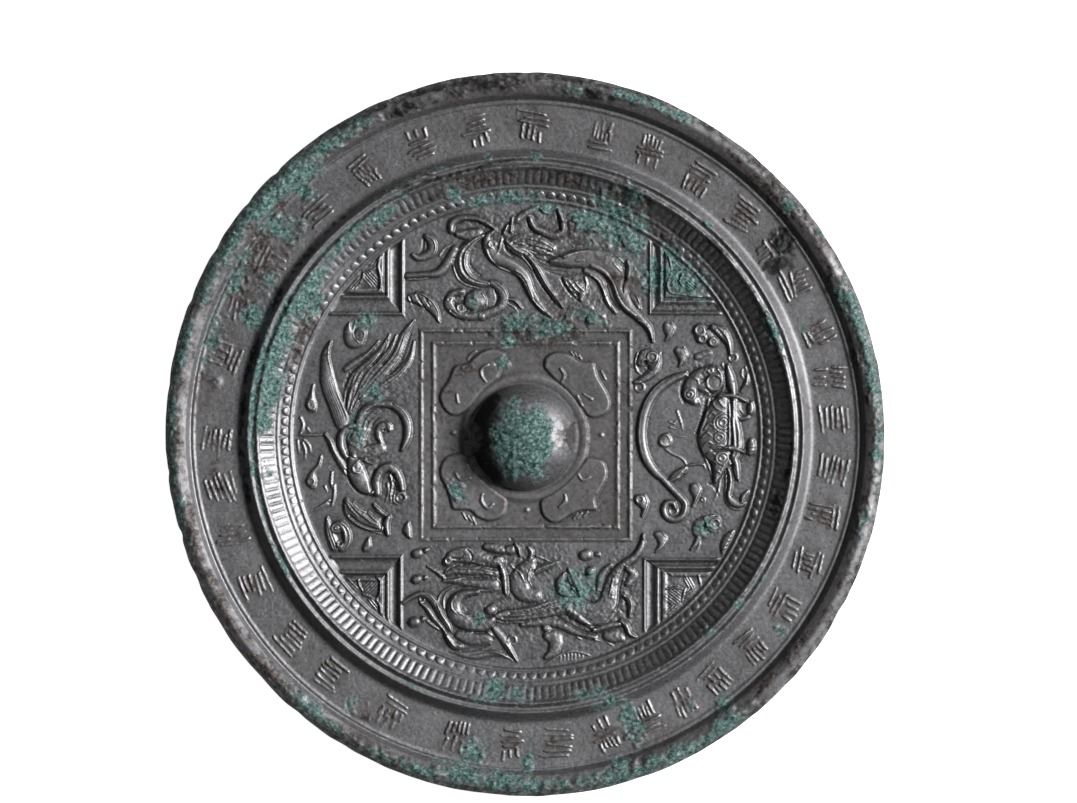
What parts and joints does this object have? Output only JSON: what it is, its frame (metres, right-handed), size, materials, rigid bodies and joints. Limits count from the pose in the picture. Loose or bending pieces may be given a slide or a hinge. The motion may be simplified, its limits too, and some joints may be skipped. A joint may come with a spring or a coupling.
{
  "type": "bronze mirror",
  "caption": "Round cast bronze mirror with creatures, corner brackets and a square in relief round a pierced boss, and a raised rim.",
  "frame": {"origin": "middle of the flat reflecting face, on which the mirror lies", "axes": "+Z out of the figured back through the boss; +X along the cord hole, towards the tortoise; +Y towards the striding beast above the square"},
  "size_m": [0.18, 0.18, 0.0128],
  "materials": {
    "patinated_bronze": "dark grey high-tin bronze with a satin sheen, patches of green and red-brown corrosion and black crust"
  },
  "bodies": {
    "root": {"mirror": "patinated_bronze"}
  },
  "joints": []
}
